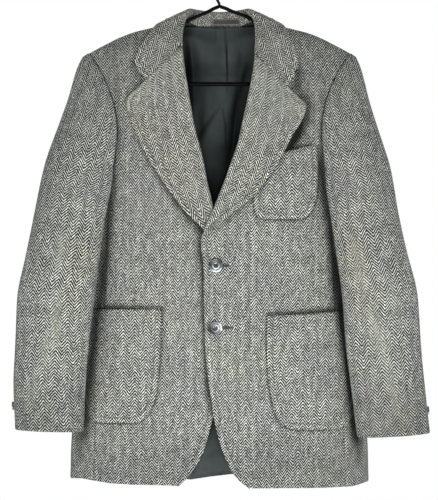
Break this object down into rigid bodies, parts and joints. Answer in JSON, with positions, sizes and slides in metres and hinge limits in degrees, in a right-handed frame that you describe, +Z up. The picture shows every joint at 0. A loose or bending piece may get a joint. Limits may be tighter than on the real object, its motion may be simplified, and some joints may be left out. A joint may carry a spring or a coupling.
{
  "type": "tweed hacking jacket on a hanger",
  "caption": "Herringbone tweed hacking jacket with notched lapels and patch pockets, buttoned and hanging on a slim dark hanger.",
  "frame": {"origin": "inside top of the hanger's hook, where it bears on the rail", "axes": "+Z up, -Y is the jacket's front, -X is the wearer's right"},
  "size_m": [0.6952, 0.1682, 0.8965],
  "materials": {
    "tweed": "woollen herringbone, matt with a fine nap",
    "lining": "satin lining",
    "label": "plain woven label, blank",
    "button": "smoky pearl, polished",
    "hanger": "black coated wire"
  },
  "bodies": {
    "root": {"front_right": "tweed", "front_left": "tweed", "side_right": "tweed", "side_left": "tweed", "back_right": "tweed", "back_left": "tweed", "sleeve_top_right": "tweed", "sleeve_under_right": "tweed", "sleeve_top_left": "tweed", "sleeve_under_left": "tweed", "lapel_right": "tweed", "lapel_left": "tweed", "collar": "tweed", "pocket_hip_right": "tweed", "pocket_hip_left": "tweed", "pocket_breast": "tweed", "lining_back": "lining", "neck_label": "label", "button_top": "button", "button_bottom": "button", "button_cuff_right": "button", "button_cuff_left": "button", "hanger_arm_right": "hanger", "hanger_arm_left": "hanger", "hanger_bar": "hanger", "hanger_hook": "hanger"}
  },
  "joints": []
}
